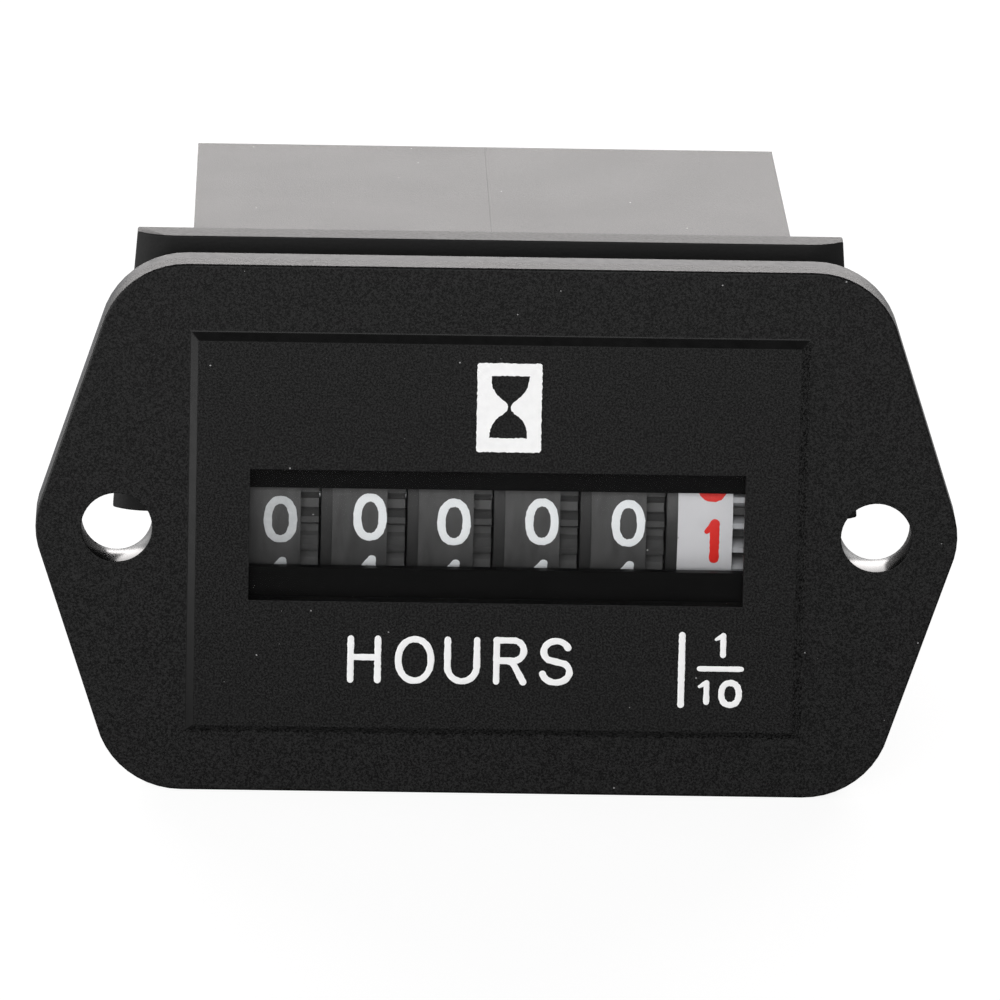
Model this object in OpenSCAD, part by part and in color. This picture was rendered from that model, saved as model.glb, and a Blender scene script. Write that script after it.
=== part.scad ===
// Panel hour meter with a six wheel counter behind a small window.
// X runs to the right of the face, Y into the panel and Z up.
// The origin is the centre of the flange's rear face, where the panel's front lies.

/* [Flange] */
// Distance between the centres of the two screw holes
hole_spacing = 45; // [43.5:0.5:60]
// Diameter of the screw holes
hole_d = 4.2; // [2.5:0.1:5]
// Thickness of the flange
flange_t = 2.8; // [2:0.1:5]
// Height of the flange
flange_h = 32.3; // [29:0.1:44]
// Distance between the centres of the corner rounds, along X
corner_spacing = 37; // [32:0.5:40]
// Radius of the corner rounds
corner_r = 5.2; // [3:0.1:7]
// Radius of the pointed ends, around the screw holes
tip_r = 4.8; // [3.8:0.1:6]
// Bevel along the flange's front edge
flange_bevel = 0.1; // [0.1:0.05:0.6]

/* [Body] */
// Width of the body just behind the flange
body_w = 36.8; // [36.6:0.1:42]
// Height of the body just behind the flange
body_h = 24; // [23.6:0.1:28]
// Depth of the body behind the flange
body_depth = 45; // [43:0.5:60]
// Wall thickness of the body
wall = 1.2; // [0.8:0.05:1.3]
// Draft of the four body sides, in degrees
draft = 0.55; // [0:0.05:0.8]
// Thickness of the rear cover
cover_t = 2; // [1.5:0.1:3]
// Gap around the rear cover
cover_gap = 0.08; // [0.03:0.01:0.2]

/* [Front panel and window] */
// Height of the raised panel over the flange
panel_raise = 0.45; // [0.2:0.05:1]
// Width of the raised panel's flat face
panel_w = 35.6; // [33:0.1:37]
// Height of the raised panel's flat face
panel_h = 23.6; // [16:0.1:26]
// Width of the bevel around the raised panel
panel_bevel = 0.5; // [0.1:0.05:0.6]
// Thickness of the front wall around the window
front_wall = 0.95; // [0.7:0.05:1.2]
// Width of the window
window_w = 29.3; // [26:0.1:30]
// Height of the window
window_h = 8.05; // [6:0.05:10]
// Height of the centre of window and raised panel over the flange's centre
window_z = -0.2; // [-0.6:0.1:0.6]
// Thickness of the lens behind the front wall
lens_t = 0.7; // [0.5:0.05:1]
// Depth of the lens's front below the panel's face
lens_sink = 0.45; // [0.1:0.05:0.6]
// Gap around the lens's raised pad
lens_gap = 0.08; // [0.03:0.01:0.2]
// Width of the lens's rim behind the front wall
lens_rim = 1.2; // [0.8:0.1:1.8]

/* [Counter] */
// Radius of the numeral rims
wheel_r = 6.25; // [6:0.05:6.3]
// Distance from one wheel to the next
wheel_pitch = 5.13; // [5.05:0.01:5.2]
// Width of a numeral rim
band_w = 3.25; // [3.1:0.05:3.3]
// Distance from a rim's left edge to the middle of its numerals
numeral_offset = 2.03; // [1.6:0.01:2.1]
// Width of the ring gear on the right of each hour wheel
ring_w = 1.08; // [0.9:0.02:1.1]
// Width of the carry ring on the left of a wheel
carry_w = 0.65; // [0.4:0.05:0.7]
// Thickness of a numeral rim
rim_t = 0.9; // [0.6:0.05:1.1]
// Thickness of a wheel's web
web_t = 0.8; // [0.5:0.05:1.2]
// Radius of a wheel's hub
hub_r = 1.9; // [1.5:0.1:2.2]
// Outer radius of the carry ring
carry_r = 4.6; // [4:0.05:4.7]
// Radius of the counter shaft
shaft_r = 0.8; // [0.6:0.05:0.9]
// Radius of the pinion shaft
pinion_shaft_r = 0.6; // [0.4:0.05:0.65]
// Running clearance around shafts and pivots
running_gap = 0.03; // [0.02:0.01:0.06]
// Height of the slot in the mask in front of the wheels
slot_h = 4.9; // [4:0.1:5.5]
// Thickness of the mask in front of the wheels
mask_t = 0.6; // [0.4:0.05:0.8]
// Gap in front of and behind the mask
mask_gap = 0.08; // [0.05:0.01:0.2]
// Thickness of the frame's cheeks
cheek_t = 0.7; // [0.5:0.05:0.75]
// Gap between the frame's cheeks and the body's walls
frame_gap = 0.15; // [0.05:0.05:0.2]

/* [Gear train] */
// Module of the ring gears and the transfer pinions
ring_module = 0.54; // [0.52:0.005:0.55]
// Module of the tenths wheel's gear and the drive pinion
drive_module = 0.469; // [0.45:0.001:0.475]
// Module of the drive wheel and the idler pinion
idler_module = 0.3; // [0.29:0.005:0.305]
// Module of the idler wheel and the rotor pinion
rotor_module = 0.24; // [0.23:0.005:0.25]
// Face width of the thin wheels of the train
train_w = 0.55; // [0.4:0.05:0.6]
// Radius of the train's arbors
arbor_r = 0.55; // [0.45:0.01:0.58]
// Radius of the pivots at their ends
pivot_r = 0.35; // [0.25:0.05:0.4]
// Thickness of the gear plate
plate_t = 0.8; // [0.6:0.05:1]

/* [Motor] */
// Radius of the rotor's magnet
magnet_r = 2.9; // [2.5:0.1:3]
// Air gap around the magnet
air_gap = 0.4; // [0.3:0.05:0.5]
// Thickness of the stator sheet
stator_t = 0.8; // [0.6:0.05:1]
// Distance from the gear plate to the stator
stator_gap = 3.75; // [3.6:0.05:4.5]
// Outer radius of the coil winding
winding_r = 2.95; // [2.2:0.05:3]
// Thickness of the motor's bridge
bridge_t = 0.8; // [0.6:0.05:1.2]

/* [Electronics and terminals] */
// Thickness of the circuit board
board_t = 1; // [0.8:0.1:1.6]
// Distance between the board and the rear cover
board_gap = 6; // [5.6:0.1:6.5]
// Distance between the two blade terminals
blade_spacing = 16; // [12:0.5:18]
// Width of a blade terminal
blade_w = 6.3; // [4.8:0.1:6.3]
// Thickness of a blade terminal
blade_t = 0.8; // [0.5:0.1:1]
// Length of a blade terminal behind the rear cover
blade_l = 8; // [6:0.5:10]

/* [Retaining clip] */
// Distance from the flange to the clip
clip_y = 3.3; // [0.5:0.1:12]
// Thickness of the clip
clip_t = 2.1; // [1.5:0.1:3]
// Height of the clip's top over the body's centre line
clip_top = 16.3; // [15.5:0.1:20]
// Height of the clip's feet over the body's centre line
clip_foot = -0.7; // [-6:0.1:4]
// Width across the top of the clip
clip_w = 41.9; // [40.4:0.1:46]
// Lean of the clip's legs, in degrees
clip_splay = 4.3; // [0:0.1:6]
// Play between the clip's legs and the body, on each side
clip_play = 0.65; // [0.1:0.05:0.8]
// How far the loose clip sits to the left
clip_shift = 0.55; // [0:0.05:0.6]
// Radius of the rounds on the clip's front corners
clip_round = 2.9; // [2.5:0.1:4]

/* [Hidden] */

$fn = 48;
// Overlap that joins shapes within one piece, reach of a cut past a face, and a cut through everything
eps = 0.02;
over = 1;
through = 100;
// Gap around a piece that is pressed on, end play of a piece between two others, gap around a blade
press_gap = 0.01;
end_gap = 0.05;
slot_gap = 0.05;

// Front to back stack, as Y values
panel_y = -flange_t - panel_raise;
lens_y = panel_y + front_wall;
mask_y = lens_y + lens_t + mask_gap;
wheel_y = mask_y + mask_t + mask_gap + wheel_r;
cover_y = body_depth - cover_t;
board_y = cover_y - board_gap - board_t;
board_back = board_y + board_t;

// Half sizes of the body's outside and inside at a depth y
function body_hw(y) = body_w / 2 - y * tan(draft);
function body_hh(y) = body_h / 2 - y * tan(draft);
function room_hw(y) = body_hw(y) - wall;
function room_hh(y) = body_hh(y) - wall;

// Counter wheels along X
wheel_count = 6;
function numeral_x(i) = (i - (wheel_count - 1) / 2) * wheel_pitch;
function band_x(i) = numeral_x(i) - numeral_offset;

// Carry: step from the number band down to the locking ring, wall of the inner ring, and the two
// teeth that reach from the inner ring through the locking ring up to the band's height
lock_step = 0.2;
carry_wall = 0.8;
carry_tooth_w = 0.6;
carry_tooth_gap = 0.1;
pinion_side_gap = 0.08;
spacer_wall = 0.3;

// Teeth and the stub tooth form that the whole train shares, as parts of the module
ring_teeth = 20;
tenths_teeth = 24;
drive_teeth = 40;
idler_teeth = 32;
pinion_teeth = 8;
pressure = 25;
addendum = 0.75;
dedendum = 1.05;
flank_low = 0.3;
flank_high = 0.2;
tooth_play = 0.14;

// Axes of the train as [Y, Z] points, each placed from the one that it meshes with
pinion_bearing = -60;
drive_bearing = 25;
idler_bearing = -5;
rotor_bearing = 5;
function from(p, r, a) = [p[0] + r * cos(a), p[1] + r * sin(a)];
function mesh_r(m, z1, z2) = m * (z1 + z2) / 2;
wheel_axis = [wheel_y, 0];
pinion_axis = from(wheel_axis, mesh_r(ring_module, ring_teeth, pinion_teeth), pinion_bearing);
drive_axis = from(wheel_axis, mesh_r(drive_module, tenths_teeth, pinion_teeth), drive_bearing);
idler_axis = from(drive_axis, mesh_r(idler_module, drive_teeth, pinion_teeth), idler_bearing);
rotor_axis = from(idler_axis, mesh_r(rotor_module, idler_teeth, pinion_teeth), rotor_bearing);

// Turn of a gear of z2 teeth that lets it mesh with one of z1 teeth turned by p1
function mesh_turn(p1, z1, z2, a) = a + 180 - (p1 - a) * z1 / z2 + 180 / z2;
pinion_turn = mesh_turn(0, ring_teeth, pinion_teeth, pinion_bearing);
drive_turn = mesh_turn(0, tenths_teeth, pinion_teeth, drive_bearing);
idler_turn = mesh_turn(drive_turn, drive_teeth, pinion_teeth, idler_bearing);
rotor_turn = mesh_turn(idler_turn, idler_teeth, pinion_teeth, rotor_bearing);

// Layers of the train and the motor beside the tenths wheel, as X values
drive_w = 1.05;
drive_hub_r = 1.3;
layer_gap = 0.1;
idler_offset = 0.25;
plate_gap = 0.4;
train_x = band_x(wheel_count - 1) + band_w;
drive_wheel_x = train_x + drive_w + layer_gap;
idler_wheel_x = train_x + idler_offset;
plate_x = train_x - plate_gap - plate_t;
stator_x = plate_x - stator_gap - stator_t;
core_x = stator_x + stator_t;
core_mid = core_x + stator_t / 2;
bridge_leg = 1.9;
bridge_x = stator_x - bridge_leg - bridge_t;

// Frame of the counter
right_cheek_margin = 3.4;
left_cheek_margin = 3;
right_cheek_end = rotor_axis[0] + right_cheek_margin;
left_cheek_end = pinion_axis[0] + left_cheek_margin;
cheek_h = 17;
tie_depth = 4;
tie_lift = 1.2;
tie_z = wheel_r + tie_lift;
slot_margin = 0.5;
frame_hw = room_hw(right_cheek_end) - frame_gap;
cheek_x = frame_hw - cheek_t;

// Rotor: seat and collar of the magnet
magnet_w = 1.6;
magnet_x = core_x - stator_t / 2 - magnet_w / 2;
magnet_bore = 1.2;
collar_r = 1.8;
collar_w = 0.5;
rotor_pass_r = 1.5;

// Gear plate from behind the wheels to the board, and its three stays
plate_clear = 0.95;
plate_front = wheel_axis[0] + wheel_r + plate_clear;
plate_end = board_y - plate_clear;
plate_h = 18;
plate_ear_wall = 0.6;
plate_ear_r = pivot_r + plate_ear_wall;
stay_r = 1;
stay_pin_r = stay_r / 2;
stay_low = -7;
stay_high = 6.8;
stay_inset = 1.9;
stay_front = plate_front + stay_inset;
stay_back = right_cheek_end - stay_inset;
stay_points = [[stay_front, stay_low], [stay_back, stay_high], [stay_back, stay_low]];

// Stator, core and the posts that carry them, as long as the gear plate lets them be
stator_front_inset = 2.7;
stator_back_inset = 1;
stator_front = plate_front + stator_front_inset;
stator_l = plate_end - stator_back_inset - stator_front;
limb_h = 8;
limb_w = 2.2;
notch_r = 0.35;
motor_screw_r = 0.55;
screw_head_r = 1.1;
screw_head_h = 0.7;
screw_reach = 2.4;
screw_tip_gap = 0.1;
post_r = 1.2;
post_margin = 0.2;
post_y = [stator_front + limb_w / 2, stator_front + stator_l - limb_w / 2];
bridge_post_z = rotor_axis[1] + limb_h / 2 - post_r - post_margin;
bridge_w = 2 * (post_r + post_margin);

// Coil and its core, below the stator's limb
bobbin_tube_r = 1.6;
bobbin_lip = 0.25;
bobbin_flange_r = winding_r + bobbin_lip;
coil_gap = 1.96;
core_z = rotor_axis[1] - limb_h / 2 - coil_gap - bobbin_flange_r;
core_h = 1.8;
bobbin_flange_t = 0.7;
bobbin_gap = 0.2;
core_slide = 0.02;
bobbin_y0 = post_y[0] + limb_w / 2 + bobbin_gap;
bobbin_y1 = post_y[1] - limb_w / 2 - bobbin_gap;
bobbin_l = bobbin_y1 - bobbin_y0;
pin_y0 = bobbin_y1 - bobbin_flange_t;
coil_pin_r = 0.3;
coil_pin_spread = 1.4;
coil_pin_drop = 2.1;
coil_pin_x = [core_mid - coil_pin_spread, core_mid + coil_pin_spread];
coil_pin_z = core_z - coil_pin_drop;
coil_pin_out = 0.5;

// Board and the bosses of the rear cover that hold it
board_side_gap = 0.5;
board_top_gap = 0.8;
board_hw = room_hw(board_back) - board_side_gap;
board_hh = room_hh(board_back) - board_top_gap;
boss_x = 13;
boss_z = 5;
boss_r = 1.5;
boss_pin_r = boss_r / 2;
boss_pin_out = 0.4;

// Parts on the board, with their places as [X, Z] points
lead_r = 0.3;
lead_out = 0.5;
lead_reach = 1.5;
part_lift = 0.1;
cap_at = [-2, 5.6];
cap_r = 2.5;
cap_l = 8;
diode_at = [-2, -3.4];
diode_r = 1.3;
diode_l = 5;
resistor_at = [-2, -7];
resistor_r = 1.2;
resistor_l = 6.3;
crystal_at = [-13, 1.5];
crystal_r = 1;
crystal_l = 6;
crystal_lead_r = 0.15;
crystal_lead_l = 1;
chip_at = [-2, 1];
chip_w = 5;
chip_h = 4;
chip_t = 1.5;
chip_legs = 4;
leg_pitch = 1.27;
leg_w = 0.4;
leg_l = 1;

// Blade terminals
blade_tip = 1.2;
blade_hole_d = 1.7;
blade_hole_at = 0.55;
shoulder_step = 0.8;
shoulder_w = blade_w + 2 * shoulder_step;
shoulder_t = 1.2;
tail_w = 2;
tail_out = 0.6;

// Retaining clip
clip_seat_gap = 0.05;
clip_sink = 0.9;

// Places a child drawn in the gear plane, with its own Z along the shafts
module on_axis(axis, x) {
    translate([x, axis[0], axis[1]]) rotate([90, 0, 90]) children();
}

// Places a child with its own Z pointing back along Y
module facing_back(x, y, z) {
    translate([x, y, z]) rotate([-90, 0, 0]) children();
}

// Cut along the shafts that goes through a plate of thickness t at x
module plate_hole(axis, x, t, r) {
    on_axis(axis, x - over) cylinder(r = r, h = t + 2 * over);
}

// Box from y0 to y1, centred on X and Z
module centred_box(w, y0, y1, h) {
    translate([-w / 2, y0, -h / 2]) cube([w, y1 - y0, h]);
}

// Four sided block whose half sizes change evenly from y0 to y1
module tapered_block(y0, hw0, hh0, y1, hw1, hh1) {
    reach = max(hw0, hw1, hh0, hh1) + over;
    intersection() {
        translate([0, 0, -reach]) linear_extrude(2 * reach)
            polygon([[-hw0, y0], [hw0, y0], [hw1, y1], [-hw1, y1]]);
        translate([-reach, 0, 0]) rotate([90, 0, 90]) linear_extrude(2 * reach)
            polygon([[y0, -hh0], [y1, -hh1], [y1, hh1], [y0, hh0]]);
    }
}

// Half the angle that a tooth fills at radius r
function involute(a) = tan(a) * 180 / PI - a;
function tooth_half(z, m, r) =
    let(base_r = z * m / 2 * cos(pressure))
    (180 / z) * (0.5 - tooth_play / PI) + involute(pressure) - (r > base_r ? involute(acos(base_r / r)) : 0);

// Outline of a spur gear, with a tooth on its own X axis
module gear_outline(z, m) {
    steps = [-dedendum, -flank_low, flank_high, addendum];
    side = [for (s = steps) [z * m / 2 + s * m, tooth_half(z, m, z * m / 2 + s * m)]];
    flank = concat([for (p = side) [p[0], -p[1]]], [for (k = [len(side) - 1 : -1 : 0]) side[k]]);
    polygon([for (i = [0 : z - 1], f = flank)
        [f[0] * cos(360 * i / z + f[1]), f[0] * sin(360 * i / z + f[1])]]);
}

module gear(z, m, w, turn) {
    linear_extrude(w) rotate(turn) gear_outline(z, m);
}

// Case: flange, raised panel and body moulded in one
module flange_corner(x, z, r) {
    translate([x, 0, z]) rotate([90, 0, 0]) {
        cylinder(r = r, h = flange_t - flange_bevel);
        translate([0, 0, flange_t - flange_bevel]) cylinder(r1 = r, r2 = r - flange_bevel, h = flange_bevel);
    }
}

module flange_plate() {
    corner_z = flange_h / 2 - corner_r;
    hull() {
        for (sx = [-1, 1]) {
            flange_corner(sx * hole_spacing / 2, 0, tip_r);
            for (sz = [-1, 1])
                flange_corner(sx * corner_spacing / 2, sz * corner_z, corner_r);
        }
    }
}

module screw_holes() {
    for (sx = [-1, 1])
        facing_back(sx * hole_spacing / 2, -flange_t - over, 0) cylinder(d = hole_d, h = flange_t + 2 * over);
}

module case_body() {
    rear = body_depth + over;
    color("#1d1d1f") difference() {
        union() {
            flange_plate();
            tapered_block(-eps, body_hw(-eps), body_hh(-eps),
                body_depth, body_hw(body_depth), body_hh(body_depth));
            translate([0, 0, window_z])
                tapered_block(panel_y, panel_w / 2, panel_h / 2,
                    -flange_t + eps, panel_w / 2 + panel_bevel, panel_h / 2 + panel_bevel);
        }
        tapered_block(lens_y, room_hw(lens_y), room_hh(lens_y), rear, room_hw(rear), room_hh(rear));
        translate([0, 0, window_z]) centred_box(window_w, panel_y - over, lens_y + over, window_h);
        screw_holes();
    }
}

// Lens: rim behind the front wall and a pad that fills the window
module window_lens() {
    color("#dfe6ea") translate([0, 0, window_z]) {
        centred_box(window_w + 2 * lens_rim, lens_y, lens_y + lens_t, window_h + 2 * lens_rim);
        centred_box(window_w - 2 * lens_gap, panel_y + lens_sink, lens_y + eps, window_h - 2 * lens_gap);
    }
}

// Rear cover with the slots of the blades and two bosses for the board
module rear_cover() {
    color("#232325") difference() {
        union() {
            tapered_block(cover_y, room_hw(cover_y) - cover_gap, room_hh(cover_y) - cover_gap,
                body_depth, room_hw(body_depth) - cover_gap, room_hh(body_depth) - cover_gap);
            for (s = [-1, 1]) {
                facing_back(s * boss_x, board_back, s * boss_z) cylinder(r = boss_r, h = board_gap + eps);
                facing_back(s * boss_x, board_y - boss_pin_out, s * boss_z)
                    cylinder(r = boss_pin_r, h = board_t + boss_pin_out + eps);
            }
        }
        for (s = [-1, 1])
            translate([s * blade_spacing / 2, 0, 0])
                centred_box(blade_t + 2 * slot_gap, cover_y - over, body_depth + over, blade_w + 2 * slot_gap);
    }
}

// Frame of the counter: mask, two cheeks and a tie over the wheels
module counter_frame() {
    color("#161617") difference() {
        union() {
            centred_box(2 * frame_hw, mask_y, mask_y + mask_t, cheek_h);
            translate([cheek_x, mask_y, -cheek_h / 2]) cube([cheek_t, right_cheek_end - mask_y, cheek_h]);
            translate([-frame_hw, mask_y, -cheek_h / 2]) cube([cheek_t, left_cheek_end - mask_y, cheek_h]);
            translate([-frame_hw, mask_y, tie_z]) cube([2 * frame_hw, tie_depth, cheek_h / 2 - tie_z]);
        }
        translate([0, 0, window_z])
            centred_box(window_w + 2 * slot_margin, mask_y - over, mask_y + mask_t + over, slot_h);
        on_axis(wheel_axis, -through / 2) cylinder(r = shaft_r + running_gap, h = through);
        on_axis(pinion_axis, -through / 2) cylinder(r = pinion_shaft_r + running_gap, h = through);
        for (axis = [drive_axis, idler_axis, rotor_axis])
            plate_hole(axis, cheek_x, cheek_t, pivot_r + running_gap);
        for (p = stay_points)
            plate_hole(p, cheek_x, cheek_t, stay_pin_r + running_gap);
    }
}

// Counter shaft and the sleeves at its two ends
module wheel_shaft() {
    color("#b9bcc0") on_axis(wheel_axis, -frame_hw) cylinder(r = shaft_r, h = 2 * frame_hw);
}

module spacer(x0, x1) {
    difference() {
        on_axis(wheel_axis, x0) cylinder(r = shaft_r + spacer_wall, h = x1 - x0);
        plate_hole(wheel_axis, x0, x1 - x0, shaft_r + running_gap);
    }
}

module wheel_spacers() {
    color("#d8d4c6") {
        spacer(-cheek_x + end_gap, band_x(0) - end_gap);
        spacer(train_x + drive_w + end_gap, cheek_x - end_gap);
    }
}

// One number wheel: rim, web, hub, gear on the right, locking ring and carry ring on the left
module number_wheel(i, teeth, m, gear_w) {
    carry = i > 0 ? carry_w : 0;
    difference() {
        on_axis(wheel_axis, band_x(i)) {
            difference() {
                union() {
                    cylinder(r = wheel_r, h = band_w, $fn = 96);
                    if (i > 0) translate([0, 0, -carry]) cylinder(r = wheel_r - lock_step, h = carry + eps, $fn = 96);
                }
                translate([0, 0, -carry - over]) cylinder(r = wheel_r - rim_t, h = carry + band_w - web_t + over);
            }
            translate([0, 0, -carry]) cylinder(r = hub_r, h = carry + band_w);
            translate([0, 0, band_w - eps]) gear(teeth, m, gear_w + eps, 0);
            if (i > 0) carry_ring();
        }
        plate_hole(wheel_axis, band_x(i) - carry, carry + band_w + gear_w, shaft_r + running_gap);
    }
}

// Carry ring with its two teeth on the side away from the window
module carry_ring() {
    ring_l = carry_w + band_w - web_t;
    tooth_root_r = carry_r - carry_wall / 2;
    difference() {
        union() {
            translate([0, 0, -carry_w]) cylinder(r = carry_r, h = ring_l + eps);
            for (a = [-1, 1])
                rotate(a * 180 / ring_teeth) translate([tooth_root_r, -carry_tooth_w / 2, -carry_w])
                    cube([wheel_r - tooth_root_r, carry_tooth_w, carry_w - carry_tooth_gap]);
        }
        translate([0, 0, -carry_w - over]) cylinder(r = carry_r - carry_wall, h = ring_l + over);
    }
}

module hour_wheel(i) {
    color("#3c3c40") number_wheel(i, ring_teeth, ring_module, ring_w);
}

module ten_thousands_wheel() { hour_wheel(0); }
module thousands_wheel() { hour_wheel(1); }
module hundreds_wheel() { hour_wheel(2); }
module tens_wheel() { hour_wheel(3); }
module units_wheel() { hour_wheel(4); }

module tenths_wheel() {
    color("#d9d9dc") number_wheel(wheel_count - 1, tenths_teeth, drive_module, drive_w);
}

// Transfer pinions, one under each ring gear, loose on their own shaft
module pinion_shaft() {
    color("#b9bcc0") on_axis(pinion_axis, -frame_hw) cylinder(r = pinion_shaft_r, h = 2 * frame_hw);
}

module transfer_pinion(i) {
    x = band_x(i) + band_w + pinion_side_gap;
    w = ring_w - pinion_side_gap;
    color("#e6e2d4") difference() {
        on_axis(pinion_axis, x) gear(pinion_teeth, ring_module, w, pinion_turn);
        plate_hole(pinion_axis, x, w, pinion_shaft_r + running_gap);
    }
}

module transfer_pinion_1() { transfer_pinion(0); }
module transfer_pinion_2() { transfer_pinion(1); }
module transfer_pinion_3() { transfer_pinion(2); }
module transfer_pinion_4() { transfer_pinion(3); }
module transfer_pinion_5() { transfer_pinion(4); }

// Gear plate with its stays to the right cheek and its posts to the motor
module plate_post(y, z, x) {
    on_axis([y, z], x) cylinder(r = post_r, h = plate_x - x + eps);
}

module gear_plate() {
    stay_l = cheek_x - plate_x - plate_t;
    ear_l = plate_front - drive_axis[0] + over;
    color("#cfcabb") difference() {
        union() {
            translate([plate_x, plate_front, -plate_h / 2]) cube([plate_t, plate_end - plate_front, plate_h]);
            on_axis(drive_axis, plate_x) cylinder(r = plate_ear_r, h = plate_t);
            translate([plate_x, drive_axis[0], drive_axis[1] - plate_ear_r])
                cube([plate_t, ear_l, 2 * plate_ear_r]);
            for (p = stay_points) {
                on_axis(p, plate_x + plate_t - eps) cylinder(r = stay_r, h = stay_l + eps);
                on_axis(p, cheek_x - eps) cylinder(r = stay_pin_r, h = cheek_t + eps);
            }
            for (y = post_y) {
                plate_post(y, bridge_post_z, core_x);
                plate_post(y, core_z, core_x + stator_t);
            }
        }
        for (axis = [drive_axis, idler_axis])
            plate_hole(axis, plate_x, plate_t, pivot_r + running_gap);
        plate_hole(rotor_axis, plate_x, plate_t, rotor_pass_r);
        for (y = post_y, z = [bridge_post_z, core_z])
            on_axis([y, z], core_x - over)
                cylinder(r = motor_screw_r + running_gap, h = over + screw_reach + screw_tip_gap);
    }
}

// Arbor between a plate and the right cheek, with a pivot at each end
module arbor(axis, x0) {
    x1 = cheek_x - end_gap;
    on_axis(axis, x0) cylinder(r = arbor_r, h = x1 - x0);
    on_axis(axis, x0 - plate_t) cylinder(r = pivot_r, h = x1 - x0 + plate_t + cheek_t);
}

module drive_gear() {
    color("#e9e5d6") {
        arbor(drive_axis, plate_x + plate_t + end_gap);
        on_axis(drive_axis, train_x + end_gap) gear(pinion_teeth, drive_module, drive_w, drive_turn);
        on_axis(drive_axis, train_x + drive_w - eps) cylinder(r = drive_hub_r, h = layer_gap + 2 * eps);
        on_axis(drive_axis, drive_wheel_x) gear(drive_teeth, idler_module, train_w, drive_turn);
    }
}

module idler_gear() {
    color("#e9e5d6") {
        arbor(idler_axis, plate_x + plate_t + end_gap);
        on_axis(idler_axis, drive_wheel_x) gear(pinion_teeth, idler_module, train_w, idler_turn);
        on_axis(idler_axis, idler_wheel_x) gear(idler_teeth, rotor_module, train_w, idler_turn);
    }
}

// Rotor: moulded pinion and arbor that carry the ring magnet
module rotor() {
    color("#e9e5d6") {
        arbor(rotor_axis, bridge_x + bridge_t + end_gap);
        on_axis(rotor_axis, idler_wheel_x) gear(pinion_teeth, rotor_module, train_w, rotor_turn);
        on_axis(rotor_axis, magnet_x) cylinder(r = magnet_bore, h = magnet_w);
        on_axis(rotor_axis, magnet_x + magnet_w - eps) cylinder(r = collar_r, h = collar_w);
    }
}

module rotor_magnet() {
    color("#4a4744") difference() {
        on_axis(rotor_axis, magnet_x) cylinder(r = magnet_r, h = magnet_w - eps);
        plate_hole(rotor_axis, magnet_x, magnet_w, magnet_bore + press_gap);
    }
}

// Stator sheet: limb around the magnet and two legs down to the coil's core
module stator() {
    leg_h = rotor_axis[1] - limb_h / 2 - core_z + core_h / 2;
    color("#8d9094") difference() {
        union() {
            translate([stator_x, stator_front, rotor_axis[1] - limb_h / 2]) cube([stator_t, stator_l, limb_h]);
            for (y = post_y)
                translate([stator_x, y - limb_w / 2, core_z - core_h / 2])
                    cube([stator_t, limb_w, leg_h + eps]);
        }
        plate_hole(rotor_axis, stator_x, stator_t, magnet_r + air_gap);
        for (s = [-1, 1])
            plate_hole([rotor_axis[0], rotor_axis[1] + s * limb_h / 2], stator_x, stator_t, notch_r);
        for (y = post_y, z = [bridge_post_z, core_z])
            plate_hole([y, z], stator_x, stator_t, motor_screw_r + running_gap);
    }
}

// Core of the coil, screwed across the stator's two legs
module coil_core() {
    color("#9a9da1") difference() {
        translate([core_x, stator_front, core_z - core_h / 2]) cube([stator_t, stator_l, core_h]);
        for (y = post_y)
            plate_hole([y, core_z], core_x, stator_t, motor_screw_r + running_gap);
    }
}

// Coil: bobbin, winding and the two pins that reach the board
module coil_bobbin() {
    color("#e0dccb") difference() {
        union() {
            facing_back(core_mid, bobbin_y0, core_z) cylinder(r = bobbin_tube_r, h = bobbin_l);
            for (y = [bobbin_y0, pin_y0])
                facing_back(core_mid, y, core_z) cylinder(r = bobbin_flange_r, h = bobbin_flange_t);
        }
        translate([core_x - core_slide, bobbin_y0 - over, core_z - core_h / 2 - core_slide])
            cube([stator_t + 2 * core_slide, bobbin_l + 2 * over, core_h + 2 * core_slide]);
        for (x = coil_pin_x)
            facing_back(x, pin_y0 - over, coil_pin_z)
                cylinder(r = coil_pin_r + press_gap, h = bobbin_flange_t + 2 * over);
    }
}

module coil_winding() {
    l = bobbin_l - 2 * bobbin_flange_t;
    color("#a85a2a") facing_back(core_mid, bobbin_y0 + bobbin_flange_t, core_z) difference() {
        cylinder(r = winding_r, h = l);
        translate([0, 0, -over]) cylinder(r = bobbin_tube_r + press_gap, h = l + 2 * over);
    }
}

module coil_pins() {
    color("#c9a45c") for (x = coil_pin_x)
        facing_back(x, pin_y0, coil_pin_z) cylinder(r = coil_pin_r, h = board_back + coil_pin_out - pin_y0);
}

// Bridge over the rotor's left pivot, and the four motor screws
module motor_bridge() {
    color("#cfcabb") difference() {
        union() {
            translate([bridge_x, post_y[0] - bridge_w / 2, bridge_post_z - bridge_w / 2])
                cube([bridge_t, post_y[1] - post_y[0] + bridge_w, bridge_w]);
            translate([bridge_x, rotor_axis[0] - bridge_w / 2, rotor_axis[1] - bridge_w / 2])
                cube([bridge_t, bridge_w, bridge_post_z - rotor_axis[1] + bridge_w / 2]);
            for (y = post_y)
                on_axis([y, bridge_post_z], bridge_x) cylinder(r = post_r, h = bridge_t + bridge_leg);
        }
        plate_hole(rotor_axis, bridge_x, bridge_t, pivot_r + running_gap);
        for (y = post_y)
            plate_hole([y, bridge_post_z], bridge_x, bridge_t + bridge_leg, motor_screw_r + running_gap);
    }
}

module motor_screw(y, z, seat_x) {
    on_axis([y, z], seat_x - screw_head_h) cylinder(r = screw_head_r, h = screw_head_h);
    on_axis([y, z], seat_x - eps) cylinder(r = motor_screw_r, h = core_x + screw_reach - seat_x);
}

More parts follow.
